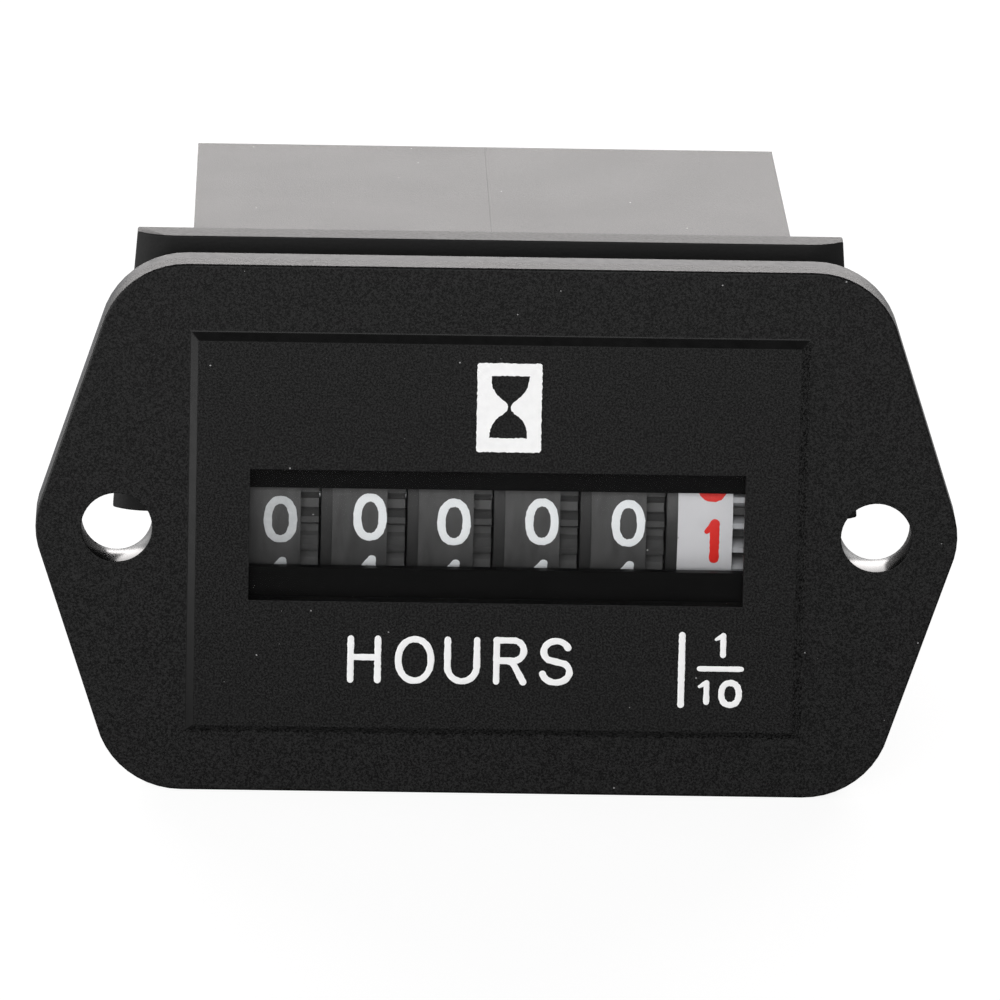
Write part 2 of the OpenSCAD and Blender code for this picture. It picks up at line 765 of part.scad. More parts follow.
module motor_screws() {
    color("#c4c6c8") for (y = post_y) {
        motor_screw(y, bridge_post_z, bridge_x);
        motor_screw(y, core_z, stator_x);
    }
}

// Board with the holes of its bosses, tails, pins and leads
module board_hole(x, z, r) {
    facing_back(x, board_y - over, z) cylinder(r = r + running_gap, h = board_t + 2 * over);
}

module lead_holes(at, l) {
    for (s = [-1, 1]) board_hole(at[0] + s * (l / 2 + lead_reach), at[1], lead_r);
}

module circuit_board() {
    color("#2d6b3c") difference() {
        centred_box(2 * board_hw, board_y, board_back, 2 * board_hh);
        for (s = [-1, 1]) {
            board_hole(s * boss_x, s * boss_z, boss_pin_r);
            board_hole(crystal_at[0] + s * crystal_r / 2, crystal_at[1] - crystal_lead_l, crystal_lead_r);
            translate([s * blade_spacing / 2, 0, 0])
                centred_box(blade_t + 2 * slot_gap, board_y - over, board_back + over, tail_w + 2 * slot_gap);
        }
        for (x = coil_pin_x) board_hole(x, coil_pin_z, coil_pin_r);
        lead_holes(cap_at, cap_l);
        lead_holes(diode_at, diode_l);
        lead_holes(resistor_at, resistor_l);
    }
}

// Part with one lead out of each end, bent into the board
module axial_part(at, r, l) {
    y = board_back + r + part_lift;
    translate([at[0], y, at[1]]) rotate([0, 90, 0]) {
        cylinder(r = r, h = l, center = true);
        cylinder(r = lead_r, h = l + 2 * lead_reach, center = true);
    }
    for (s = [-1, 1])
        facing_back(at[0] + s * (l / 2 + lead_reach), board_y - lead_out, at[1])
            cylinder(r = lead_r, h = y - board_y + lead_out);
}

module capacitor() {
    color("#2b3a6b") axial_part(cap_at, cap_r, cap_l);
}

module diode() {
    color("#222224") axial_part(diode_at, diode_r, diode_l);
}

module resistor() {
    color("#c8a97a") axial_part(resistor_at, resistor_r, resistor_l);
}

// Tuning fork crystal, its can lying along Z on the board's back
module quartz_crystal() {
    y = board_back + crystal_r + part_lift / 2;
    color("#c9ccd0") {
        translate([crystal_at[0], y, crystal_at[1]]) cylinder(r = crystal_r, h = crystal_l);
        for (s = [-1, 1]) {
            x = crystal_at[0] + s * crystal_r / 2;
            translate([x, y, crystal_at[1] - crystal_lead_l])
                cylinder(r = crystal_lead_r, h = crystal_lead_l + eps);
            facing_back(x, board_y - lead_out, crystal_at[1] - crystal_lead_l)
                cylinder(r = crystal_lead_r, h = y - board_y + lead_out);
        }
    }
}

// Timing chip on the board's front, with its legs along two sides
module timing_chip() {
    color("#1b1b1d") translate([chip_at[0], board_y, chip_at[1]]) {
        translate([-chip_w / 2, -chip_t - part_lift, -chip_h / 2]) cube([chip_w, chip_t, chip_h]);
        for (i = [0 : chip_legs - 1], s = [-1, 1])
            translate([(i - (chip_legs - 1) / 2) * leg_pitch, -leg_w / 2, s * (chip_h + leg_l - leg_w / 2) / 2])
                cube([leg_w, leg_w, leg_l], center = true);
    }
}

// Blade terminals: blade with bevelled tip, shoulder inside the cover and a tail into the board
module blade(s) {
    end_y = body_depth + blade_l;
    back = cover_y - shoulder_t;
    tail_y = board_y - tail_out;
    color("#c3b27a") translate([s * blade_spacing / 2 - blade_t / 2, 0, 0]) difference() {
        rotate([90, 0, 90]) linear_extrude(blade_t) polygon([
            [cover_y, -blade_w / 2], [end_y - blade_tip, -blade_w / 2], [end_y, -blade_w / 2 + blade_tip],
            [end_y, blade_w / 2 - blade_tip], [end_y - blade_tip, blade_w / 2], [cover_y, blade_w / 2],
            [cover_y, shoulder_w / 2], [back, shoulder_w / 2], [back, tail_w / 2],
            [tail_y, tail_w / 2], [tail_y, -tail_w / 2], [back, -tail_w / 2],
            [back, -shoulder_w / 2], [cover_y, -shoulder_w / 2]
        ]);
        plate_hole([body_depth + blade_l * blade_hole_at, 0], 0, blade_t, blade_hole_d / 2);
    }
}

module positive_terminal() { blade(-1); }
module negative_terminal() { blade(1); }

// Retaining clip: a yoke that sits over the body, its legs leaning outwards
module retaining_clip() {
    seat_z = body_hh(clip_y) + clip_seat_gap;
    inner = body_hw(clip_y) + clip_play;
    lean = (clip_top - clip_foot) * tan(clip_splay);
    color("#1a1a1c") translate([-clip_shift, clip_y, 0]) difference() {
        translate([0, clip_t, 0]) rotate([90, 0, 0]) linear_extrude(clip_t) polygon([
            [-clip_w / 2, clip_top], [-clip_w / 2 - lean, clip_foot], [-inner, clip_foot], [-inner, seat_z],
            [inner, seat_z], [inner, clip_foot], [clip_w / 2 + lean, clip_foot], [clip_w / 2, clip_top]
        ]);
        for (s = [0, 1]) mirror([s, 0, 0])
            translate([clip_w / 2, 0, clip_top]) rotate([0, -clip_splay, 0]) clip_corner_cut();
    }
}

// Waste outside the round on a front corner of the clip, along the leg's outer edge
module clip_corner_cut() {
    rest = clip_round - clip_sink;
    run = sqrt(clip_round * clip_round - rest * rest);
    translate([0, 0, -through / 2]) linear_extrude(through) difference() {
        translate([-run, -over]) square([run + clip_round, over + clip_sink]);
        translate([-run, clip_round]) circle(r = clip_round);
    }
}

case_body();
window_lens();
rear_cover();
counter_frame();
wheel_shaft();
wheel_spacers();
ten_thousands_wheel();
thousands_wheel();
hundreds_wheel();
tens_wheel();
units_wheel();
tenths_wheel();
pinion_shaft();
transfer_pinion_1();
transfer_pinion_2();
transfer_pinion_3();
transfer_pinion_4();
transfer_pinion_5();
gear_plate();
drive_gear();
idler_gear();
rotor();
rotor_magnet();
stator();
coil_core();
coil_bobbin();
coil_winding();
coil_pins();
motor_bridge();
motor_screws();
circuit_board();
quartz_crystal();
timing_chip();
capacitor();
diode();
resistor();
positive_terminal();
negative_terminal();
retaining_clip();
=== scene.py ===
import random
from math import cos, pi, radians, sin

import bpy
from mathutils import Matrix, Vector


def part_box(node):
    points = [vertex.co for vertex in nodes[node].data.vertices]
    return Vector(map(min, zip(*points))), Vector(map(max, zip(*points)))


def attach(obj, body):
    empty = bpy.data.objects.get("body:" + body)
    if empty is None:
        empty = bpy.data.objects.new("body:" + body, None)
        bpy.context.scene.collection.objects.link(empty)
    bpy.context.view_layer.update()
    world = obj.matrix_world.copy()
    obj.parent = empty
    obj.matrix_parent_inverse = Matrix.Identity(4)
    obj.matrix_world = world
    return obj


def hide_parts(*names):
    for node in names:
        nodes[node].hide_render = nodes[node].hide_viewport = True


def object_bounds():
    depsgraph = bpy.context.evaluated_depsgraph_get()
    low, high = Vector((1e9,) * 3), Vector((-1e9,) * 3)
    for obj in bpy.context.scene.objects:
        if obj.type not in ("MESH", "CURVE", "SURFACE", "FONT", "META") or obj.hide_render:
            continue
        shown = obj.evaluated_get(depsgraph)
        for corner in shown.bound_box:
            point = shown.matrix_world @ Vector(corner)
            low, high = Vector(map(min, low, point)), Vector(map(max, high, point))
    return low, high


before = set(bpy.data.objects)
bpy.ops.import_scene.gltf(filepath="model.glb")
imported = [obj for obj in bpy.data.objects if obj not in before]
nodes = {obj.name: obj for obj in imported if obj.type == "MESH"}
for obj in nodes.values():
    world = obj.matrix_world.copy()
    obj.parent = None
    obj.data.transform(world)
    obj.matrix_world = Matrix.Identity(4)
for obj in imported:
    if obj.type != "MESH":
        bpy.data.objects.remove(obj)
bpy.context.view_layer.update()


# Case: flange, raised panel and box body, moulded as one in black ABS. The mould is spark
# eroded, so its faces have a fine matt grain. The holes, the flange's rear edge and two of the
# panel's slopes (top and left) come from polished steel and are smooth; these two slopes are also
# coloured darker, painted shade. The other two slopes (right and bottom) are coloured paler, painted fill
# light.

MM = 0.001


class Wire:
    """An output socket of a node; arithmetic on it adds Math nodes to its tree."""

    def __init__(self, owner, socket):
        self.owner = owner
        self.socket = socket

    def math(self, operation, *values):
        return self.owner.add("ShaderNodeMath", {"operation": operation}, dict(enumerate(values)))

    def __add__(self, other):
        return self.math("ADD", self, other)

    def __sub__(self, other):
        return self.math("SUBTRACT", self, other)

    def __rsub__(self, other):
        return self.math("SUBTRACT", other, self)

    def __mul__(self, other):
        return self.math("MULTIPLY", self, other)

    def __gt__(self, other):
        return self.math("GREATER_THAN", self, other)

    def __lt__(self, other):
        return self.math("LESS_THAN", self, other)

    __radd__ = __add__
    __rmul__ = __mul__

    def root(self):
        return self.math("SQRT", self)


class ShaderTree:
    """A node tree; add() makes any node from its type, its settings and its sockets."""

    def __init__(self, tree):
        self.tree = tree

    def add(self, kind, settings=None, sockets=None, out=0):
        node = self.tree.nodes.new(kind)
        for name, value in (settings or {}).items():
            setattr(node, name, value)
        for name, value in (sockets or {}).items():
            self.feed(node.inputs[name], value)
        return Wire(self, node.outputs[out])

    def feed(self, socket, value):
        if isinstance(value, Wire):
            self.tree.links.new(value.socket, socket)
        else:
            socket.default_value = value

    def mix(self, factor, a, b):
        return self.add("ShaderNodeMix", {"data_type": "RGBA"}, {0: factor, 6: a, 7: b}, out=2)


class Finish(ShaderTree):
    """The finish of a piece: one Principled shader, with patterns in Object coordinates."""

    def __init__(self, name, sockets):
        self.material = bpy.data.materials.new(name)
        self.material.use_nodes = True
        super().__init__(self.material.node_tree)
        self.shader = self.tree.nodes["Principled BSDF"]
        self.place = self.add("ShaderNodeTexCoord", out="Object")
        self.set(sockets)

    def set(self, sockets):
        for name, value in sockets.items():
            self.feed(self.shader.inputs[name], value)

    def noise(self, scale, detail=2.0, stretch=(1, 1, 1)):
        place = self.add("ShaderNodeMapping", {}, {"Vector": self.place, "Scale": stretch})
        return self.add("ShaderNodeTexNoise", {}, {"Vector": place, "Scale": scale, "Detail": detail})

    def along(self, axis):
        return self.add("ShaderNodeSeparateXYZ", {}, {0: self.place}, out=axis)

    def specks(self, scale, size, share):
        """1 in small dots: one in each cell of the given scale, kept in a share of the cells."""
        cell = {"Vector": self.place, "Scale": scale}
        near = self.add("ShaderNodeTexVoronoi", {}, cell, out="Distance") < size
        colour = self.add("ShaderNodeTexVoronoi", {}, cell, out="Color")
        draw = self.add("ShaderNodeSeparateColor", {}, {0: colour})
        return near * (draw < share)

    def bump(self, height, depth, strength):
        sockets = {"Height": height, "Distance": depth, "Strength": strength}
        self.set({"Normal": self.add("ShaderNodeBump", {}, sockets)})

    def paint(self, *objects):
        for piece in objects:
            piece.data.materials.clear()
            piece.data.materials.append(self.material)


def grey(value):
    return (value, value, value, 1)


def deselect():
    bpy.ops.object.select_all(action="DESELECT")


def make_active(piece):
    deselect()
    piece.select_set(True)
    bpy.context.view_layer.objects.active = piece


def put_in(piece, name, body):
    """Names a finished piece and lets it ride on its body."""
    piece.name = name
    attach(piece, body)


merge_gap = 0.001 * MM
sharp_angle, smooth_angle = radians(28), radians(48)


def softened(node, name, width, body, finish, flat=0.4, share=lambda corner: 1.0, split_y=None):
    """Copy of a CAD node with its sharp edges broken by a small round, as moulding leaves them.

    Faces within flat degrees of each other become one. share gives the part of the width that
    an edge gets, from its two ends, and split_y parts the faces at a depth.
    """
    piece = bpy.data.objects.new(name, nodes[node].data.copy())
    bpy.context.scene.collection.objects.link(piece)
    make_active(piece)
    bpy.ops.object.mode_set(mode="EDIT")
    bpy.ops.mesh.select_all(action="SELECT")
    bpy.ops.mesh.remove_doubles(threshold=merge_gap)
    bpy.ops.mesh.dissolve_limited(angle_limit=radians(flat))
    if split_y is not None:
        bpy.ops.mesh.select_all(action="SELECT")
        bpy.ops.mesh.bisect(plane_co=(0, split_y, 0), plane_no=(0, 1, 0))
    bpy.ops.mesh.select_mode(type="EDGE")
    bpy.ops.mesh.select_all(action="DESELECT")
    bpy.ops.mesh.edges_select_sharp(sharpness=sharp_angle)
    bpy.ops.object.mode_set(mode="OBJECT")
    weights = piece.data.attributes.new("bevel_weight_edge", "FLOAT", "EDGE")
    for edge in piece.data.edges:
        ends = [piece.data.vertices[v].co for v in edge.vertices]
        weights.data[edge.index].value = min(share(end) for end in ends) if edge.select else 0.0
    bevel = piece.modifiers.new("edge", "BEVEL")
    bevel.width = width
    bevel.segments = 3
    bevel.limit_method = "WEIGHT"
    bpy.ops.object.modifier_apply(modifier=bevel.name)
    bpy.ops.object.shade_smooth_by_angle(angle=smooth_angle)
    level = piece.modifiers.new("level", "WEIGHTED_NORMAL")
    level.weight = 100
    level.keep_sharp = True
    bpy.ops.object.modifier_apply(modifier=level.name)
    finish.paint(piece)
    put_in(piece, name, body)
    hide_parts(node)
    return piece


def moulded(name, gloss, grain_size, dust_share, tone=0.0155):
    """Black ABS off an eroded mould: a matt grain up to the given tone, with fluff and dust on it."""
    finish = Finish(name, {"Specular IOR Level": gloss})
    grain = finish.noise(1 / grain_size, 3)
    pits = finish.noise(2.3 / grain_size)
    relief = 0.6 * grain + 0.4 * pits
    pit, peak = 0.43, 0.585
    shade = finish.add("ShaderNodeMapRange", {}, {"Value": relief, "From Min": pit, "From Max": peak})
    plastic = finish.mix(shade, grey(0.0), grey(tone))
    fluff = finish.specks(1250, 0.04, 0.05)
    dust = finish.specks(620, 0.032, dust_share)
    finish.set({
        "Base Color": finish.mix(dust, finish.mix(fluff, plastic, grey(0.10)), grey(0.25)),
        "Roughness": 0.42 + 0.04 * finish.noise(160) + 0.10 * grain,
    })
    finish.bump(relief, 0.25 * grain_size, 0.6)
    return finish


case_black = moulded("case_black", 0.13, 0.12 * MM, 0.6)
rim_black = moulded("rim_black", 0.09, 0.22 * MM, 1.0)
# The right and bottom slopes of the panel get a paler colour than the grain: painted fill light where they
# face away from the lamps.
painted_fill_black = moulded("painted_fill_black", 0.13, 0.12 * MM, 0.6, 0.028)

bore_black = Finish("bore_black", {"Specular IOR Level": 0.15})
drag = bore_black.noise(900, 2, (1, 0.2, 1))
bore_black.set({
    "Base Color": bore_black.mix(drag, grey(0.002), grey(0.009)),
    "Roughness": 0.15 + 0.08 * drag,
})
bore_black.bump(drag, 0.003 * MM, 0.2)

edge_black = Finish("edge_black", {"Specular IOR Level": 0.03})
rub = edge_black.noise(1800, 3)
edge_black.set({
    "Base Color": edge_black.mix(rub, (0.004, 0.005, 0.007, 1), (0.009, 0.011, 0.015, 1)),
    "Roughness": 0.32 + 0.12 * rub,
})
edge_black.bump(rub, 0.006 * MM, 0.3)

# The top and left slopes of the panel are smooth, and are also coloured darker than the grain: painted
# shade.
step_black = Finish("step_black", {"Specular IOR Level": 0.2})
polish = step_black.noise(1300, 3)
step_black.set({
    "Base Color": step_black.mix(polish, grey(0.001), grey(0.005)),
    "Roughness": 0.36 + 0.14 * polish,
})
step_black.bump(polish, 0.004 * MM, 0.3)

panel_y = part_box("case_body")[0].y
flange_y = -2.8 * MM
parting_y = -1.3 * MM
hole_x = 22.5 * MM
hole_r = 2.1 * MM
window_half = 15 * MM
panel_half = 19 * MM
edge_round, light_share, front_play = 0.22 * MM, 0.3, 0.05 * MM
hole_edge_r, bore_r = 1.02 * hole_r, 1.11 * hole_r


def from_hole(place):
    return (Vector((abs(place.x), place.z)) - Vector((hole_x, 0))).length


def case_edge(end):
    """Share of the round that an edge gets: all of it at the panel's ends and the holes' front."""
    on_front = end.y <= flange_y + front_play
    at_panel = window_half < abs(end.x) < panel_half
    at_hole = from_hole(end) < hole_edge_r
    return 1.0 if on_front and (at_panel or at_hole) else light_share


case_shell = softened(
    "case_body", "case_shell", edge_round, "case", case_black,
    split_y=parting_y, share=case_edge)
finishes = (bore_black, edge_black, rim_black, step_black, painted_fill_black)
for finish in finishes:
    case_shell.data.materials.append(finish.material)


# Parts of a normal that tell a face on the front, a slope of the panel and a face across the depth.
front_lean, slope_lean, across_lean = 0.93, 0.2, 0.5


def case_finish(middle, normal):
    """Finish of a face of the case, from its middle and normal; None where the matt grain stays."""
    if middle.y < flange_y:
        by_window = abs(middle.x) <= window_half and abs(middle.z) <= window_half / 2
        if by_window or abs(normal.y) >= front_lean:
            return None
        return step_black if normal.z > slope_lean or normal.x < -slope_lean else painted_fill_black
    if abs(normal.y) > across_lean:
        return None
    if from_hole(middle) < bore_r:
        return bore_black
    if parting_y < middle.y < 0:
        return edge_black
    return rim_black if flange_y < middle.y < parting_y else None


for face in case_shell.data.polygons:
    finish = case_finish(face.center, face.normal)
    if finish:
        face.material_index = 1 + finishes.index(finish)


# Mould line: the two halves of the slide meet along the middle of the body's
# top and underside, and leave a hair line of plastic that stands just proud.

body_top = 12.0 * MM
body_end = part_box("case_body")[1].y
line_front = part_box("retaining_clip")[0].y
draft_drop = body_end * sin(radians(0.55))
line_w, line_h = 0.12 * MM, 0.03 * MM
line_gap, line_round = 0.2 * MM, 0.02 * MM
for name, side in (("mould_line_top", 1), ("mould_line_under", -1)):
    deselect()
    bpy.ops.mesh.primitive_cube_add(size=1, location=(0, (line_front + body_end) / 2, side * body_top))
    line = bpy.context.object
    line.scale = (line_w, body_end - line_front - line_gap, 2 * line_h)
    bpy.ops.object.transform_apply(location=True, rotation=True, scale=True)
    for corner in line.data.vertices:
        corner.co.z -= side * draft_drop * corner.co.y / body_end
    bevel = line.modifiers.new("edge", "BEVEL")
    bevel.width = line_round
    bevel.segments = 2
    bpy.ops.object.modifier_apply(modifier=bevel.name)
    case_black.paint(line)
    put_in(line, name, "case")


# Panel print: the word for the unit, the fraction sign of the last wheel and
# an hourglass, pad printed on the raised panel in one layer of white ink.
# The letters come from an engraved plate, so every stroke has one width and round ends.

ink_t = 0.03 * MM


def arc(cx, cy, rx, ry, start, end, steps=20):
    turns = [radians(start + (end - start) * k / steps) for k in range(steps + 1)]
    return [(cx + rx * cos(a), cy + ry * sin(a)) for a in turns]


def oval(cx, cy, rx, ry, power=2.25, steps=44):
    def bulge(value):
        return abs(value) ** (2 / power) * (1 if value > 0 else -1)
    turns = [2 * pi * k / steps for k in range(steps)]
    return [(cx + rx * bulge(cos(a)), cy + ry * bulge(sin(a))) for a in turns]


# Each sign is a list of pen strokes in a box one wide and one high. The first stroke of a sign
# in LOOPS is closed, and so are both of the 8.
SIGNS = {
    "H": [[(-0.5, 0), (-0.5, 1)], [(0.5, 0), (0.5, 1)], [(-0.5, 0.55), (0.5, 0.55)]],
    "O": [oval(0, 0.5, 0.5, 0.5, 2.1)],
    "U": [[(-0.5, 1), (-0.5, 0.6)] + arc(0, 0.36, 0.5, 0.36, 180, 360) + [(0.5, 0.6), (0.5, 1)]],
    "R": [[(-0.5, 0), (-0.5, 1)], [(-0.5, 1)] + arc(0.12, 0.755, 0.38, 0.245, 90, -90) + [(-0.5, 0.51)],
          [(-0.12, 0.51), (0.06, 0.47), (0.17, 0.38), (0.28, 0.25), (0.49, 0)]],
    "S": [arc(0.0, 0.745, 0.46, 0.255, 22, 232) + arc(0, 0.255, 0.5, 0.255, 50, -168)],
    "0": [oval(0, 0.5, 0.5, 0.5)],
    "1": [[(0.1, 0), (0.1, 1)], [(0.1, 1), (-0.22, 0.80, 0.5)]],
    "2": [arc(0, 0.71, 0.5, 0.29, 165, -38) + [(-0.5, 0)], [(-0.5, 0), (0.5, 0)]],
    "3": [arc(-0.02, 0.75, 0.45, 0.25, 155, -90) + arc(-0.02, 0.25, 0.52, 0.25, 90, -155)],
    "4": [[(0.2, 0), (0.2, 1)], [(0.2, 1), (-0.5, 0.3)], [(-0.5, 0.3), (0.5, 0.3)]],
    "5": [[(0.42, 1), (-0.36, 1)], [(-0.36, 1), (-0.43, 0.55)], arc(0, 0.32, 0.5, 0.32, 135, -150)],
    "6": [oval(0, 0.31, 0.5, 0.31, 2.1), arc(0.5, 0.31, 1.0, 0.69, 102, 180)],
    "7": [[(-0.5, 1), (0.5, 1)], [(0.5, 1), (-0.12, 0)]],
    "8": [oval(0, 0.75, 0.43, 0.25, 2.1), oval(0, 0.255, 0.5, 0.255, 2.1)],
    "9": [oval(0, 0.69, 0.5, 0.31, 2.1), arc(-0.5, 0.69, 1.0, 0.69, -78, 0)],
    "-": [[(-0.5, 0.5), (0.5, 0.5)]],
    "|": [[(0, 0), (0, 1)]],
}
LOOPS = ("O", "0", "6", "8", "9")

pen_step, pen_tip = 0.17 * MM, 0.05
ragged = random.Random(7)
ragged_low, ragged_high = 0.91, 1.08


def pen_stroke(points, closed, width, thick):
    """One stroke as a mesh in the XY plane, of an even width with a slightly ragged edge.

    The ends of an open stroke shrink to a half circle. A point is (x, y) or (x, y, share of the width).
    """
    ends = [(Vector(p[:2]), p[2] if len(p) > 2 else 1.0) for p in points]
    path = []
    for (here, wide), (there, narrow) in zip(ends, ends[1:] + ends[:1] if closed else ends[1:]):
        steps = max(1, round((there - here).length / pen_step))
        path += [(here.lerp(there, k / steps), wide + (narrow - wide) * k / steps) for k in range(steps)]
    if not closed:
        path.append(ends[-1])
    path = [(place, share * ragged.uniform(ragged_low, ragged_high)) for place, share in path]
    if not closed:
        for end, inner in ((0, 1), (-1, -2)):
            tip, share = path[end]
            out = (tip - path[inner][0]).normalized() * share * width / 2
            turns = [radians(a) for a in (30, 60, 90)]
            cap = [(tip + out * sin(a), share * max(cos(a), pen_tip)) for a in turns]
            path = cap[::-1] + path if end == 0 else path + cap
    curve = bpy.data.curves.new("stroke", "CURVE")
    curve.dimensions = "3D"
    curve.twist_mode = "Z_UP"
    curve.bevel_depth = width / 2
    curve.bevel_resolution = 1
    curve.use_fill_caps = True
    spline = curve.splines.new("POLY")
    spline.points.add(len(path) - 1)
    for point, (place, share) in zip(spline.points, path):
        point.co = (place.x, place.y, 0, 1)
        point.radius = share
    spline.use_cyclic_u = closed
    piece = bpy.data.objects.new("stroke", curve)
    bpy.context.scene.collection.objects.link(piece)
    make_active(piece)
    bpy.ops.object.convert(target="MESH")
    bpy.ops.object.shade_flat()
    piece = bpy.context.object
    # The round tube is pressed flat, to the thickness of the ink.
    for corner in piece.data.vertices:
        corner.co.z = max(-1, min(1, 3 * corner.co.z / width)) * thick / 2
    return piece


def pen_sign(sign, box, width):
    """The strokes of one sign, filling box = (x0, x1, y0, y1) to their outer edges.

    Each is a little thinner than the last, so that no two faces share a plane where they cross.
    """
    x0, x1, y0, y1 = box
    wide, high = x1 - x0 - width, y1 - y0 - width
    pieces = []
    for number, stroke in enumerate(SIGNS[sign]):
        points = [((x0 + x1) / 2 + x * wide, y0 + width / 2 + y * high, *share) for x, y, *share in stroke]
        closed = sign in LOOPS and (number == 0 or sign == "8")
        pieces.append(pen_stroke(points, closed, width, ink_t * (1 - 0.15 * number)))
    return pieces


def join(pieces):
    deselect()
    for piece in pieces:
        piece.select_set(True)
    bpy.context.view_layer.objects.active = pieces[0]
    bpy.ops.object.join()
    return bpy.context.object


def stand_up(piece, y):
    """Turns a mesh drawn in the XY plane to face the viewer, at the depth y."""
    for corner in piece.data.vertices:
        corner.co = (corner.co.x, y - corner.co.z, corner.co.y)


white_ink = Finish("white_ink", {"Specular IOR Level": 0.3})
thin = white_ink.noise(2600, 3)
white_ink.set({
    "Base Color": white_ink.mix(thin, grey(0.90), grey(0.80)),
    "Roughness": 0.45 + 0.2 * thin,
})
white_ink.bump(thin, 0.01 * MM, 0.3)

# Places on the panel in mm: x from and to for a letter, the box and the pen's width for the fraction.
letter_low, letter_high, letter_w = -9.25 * MM, -6.29 * MM, 0.40 * MM
word = (
    ("H", (-8.73, -6.72)), ("O", (-5.90, -3.56)), ("U", (-2.98, -0.84)),
    ("R", (-0.07, 1.94)), ("S", (2.66, 4.67)),
)
fraction = (
    ("|", (10.92, 11.32, -10.51, -5.81), 0.40), ("1", (12.59, 14.27, -7.39, -5.84), 0.35),
    ("-", (12.03, 14.84, -8.23, -7.91), 0.32), ("1", (11.66, 13.34, -10.31, -8.76), 0.35),
    ("0", (13.33, 14.75, -10.48, -8.74), 0.38),
)
strokes = []
for sign, (x0, x1) in word:
    strokes += pen_sign(sign, (x0 * MM, x1 * MM, letter_low, letter_high), letter_w)
for sign, box, width in fraction:
    strokes += pen_sign(sign, [v * MM for v in box], width * MM)
panel_print = join(strokes)
stand_up(panel_print, panel_y)
white_ink.paint(panel_print)
put_in(panel_print, "panel_print", "case")

# The hourglass is left out of a white field, so the black of the panel shows in it.
# Its side is given in mm by height from the neck and half width.
px0, px1, pz0, pz1 = -1.34, 2.48, 5.08, 10.52
plate_round = 0.16
glass_mid, glass_neck, glass_lean = 0.57, 7.82, radians(1.2)
glass_side = (
    (1.93, 1.12), (1.62, 1.11), (1.37, 1.07), (1.15, 1.0), (0.94, 0.88), (0.76, 0.73),
    (0.59, 0.55), (0.45, 0.40), (0.33, 0.26), (0.2, 0.14), (0.08, 0.10), (-0.1, 0.10),
    (-0.2, 0.14), (-0.37, 0.31), (-0.5, 0.49), (-0.63, 0.65), (-0.76, 0.77), (-0.89, 0.87),
    (-1.05, 0.96), (-1.23, 1.04), (-1.58, 1.11), (-1.87, 1.13),
)
field = []
for cx, cy, start in ((px1, pz1, 0), (px0, pz1, 90), (px0, pz0, 180), (px1, pz0, 270)):
    inward = (plate_round * (-1 if cx == px1 else 1), plate_round * (-1 if cy == pz1 else 1))
    field += arc(cx + inward[0], cy + inward[1], plate_round, plate_round, start, start + 90, 6)
glass = [(half, level) for level, half in glass_side]
glass += [(-half, level) for level, half in reversed(glass_side)]
glass = [(glass_mid + x + z * sin(glass_lean), glass_neck + z * cos(glass_lean)) for x, z in glass]


def frayed(outline, step=0.13, play=0.024):
    """The outline in short steps, each a little off, as ink creeps at an edge; all in mm."""
    fine = []
    for (x0, z0), (x1, z1) in zip(outline, outline[1:] + outline[:1]):
        steps = max(1, round(((x1 - x0) ** 2 + (z1 - z0) ** 2) ** 0.5 / step))
        for k in range(steps):
            share = k / steps
            fine.append((x0 + (x1 - x0) * share + ragged.uniform(-play, play),
                         z0 + (z1 - z0) * share + ragged.uniform(-play, play)))
    return fine


curve = bpy.data.curves.new("hourglass_sign", "CURVE")
curve.dimensions = "2D"
curve.fill_mode = "BOTH"
curve.extrude = ink_t / 2
for outline in (frayed(field), frayed(glass)):
    spline = curve.splines.new("POLY")
    spline.points.add(len(outline) - 1)
    for point, (x, z) in zip(spline.points, outline):
        point.co = (x * MM, z * MM, 0, 1)
    spline.use_cyclic_u = True
hourglass = bpy.data.objects.new("hourglass_sign", curve)
bpy.context.scene.collection.objects.link(hourglass)
make_active(hourglass)
bpy.ops.object.convert(target="MESH")
hourglass = bpy.context.object
bpy.ops.object.mode_set(mode="EDIT")
bpy.ops.mesh.select_all(action="SELECT")
bpy.ops.mesh.remove_doubles(threshold=merge_gap)
bpy.ops.mesh.normals_make_consistent(inside=False)
bpy.ops.object.mode_set(mode="OBJECT")
stand_up(hourglass, panel_y)
white_ink.paint(hourglass)
put_in(hourglass, "hourglass_sign", "case")


# Window lens: a clear acrylic moulding, polished, glued in from behind so that
# its pad stands in the window. It shows only by its gloss at a slant.

lens_clear = Finish("lens_clear", {"Base Color": grey(0.02), "IOR": 1.49})
slant = lens_clear.add("ShaderNodeLayerWeight", {}, {"Blend": 0.25}, out="Facing")
lens_clear.set({
    "Roughness": 0.02 + 0.03 * lens_clear.noise(300),
    "Alpha": 0.05 + 0.5 * slant * slant * slant,
})
lens_clear.paint(nodes["window_lens"])


# Counter frame: mask, cheeks and tie moulded in glossy black styrene. It slides
# in from behind with the wheels already on their shafts.

frame_black = Finish("frame_black", {"Specular IOR Level": 0.06})
flow = frame_black.noise(900, 2, (0.2, 1, 1))
frame_black.set({
    "Base Color": frame_black.mix(flow, grey(0.001), grey(0.003)),
    "Roughness": 0.30 + 0.15 * flow,
})
frame_black.bump(flow, 0.005 * MM, 0.2)
frame_black.paint(nodes["counter_frame"])


# Shafts and sleeves: the counter and pinion shafts are ground steel wire cut to
# length, and the two sleeves that space the wheels are natural acetal.

steel = Finish("ground_steel", {"Metallic": 1.0})
lathe = steel.noise(2500, 2, (6, 1, 1))
steel.set({
    "Base Color": steel.mix(lathe, (0.50, 0.51, 0.53, 1), (0.64, 0.65, 0.67, 1)),
    "Roughness": 0.2 + 0.2 * lathe,
})
steel.bump(lathe, 0.002 * MM, 0.2)
steel.paint(nodes["wheel_shaft"], nodes["pinion_shaft"])

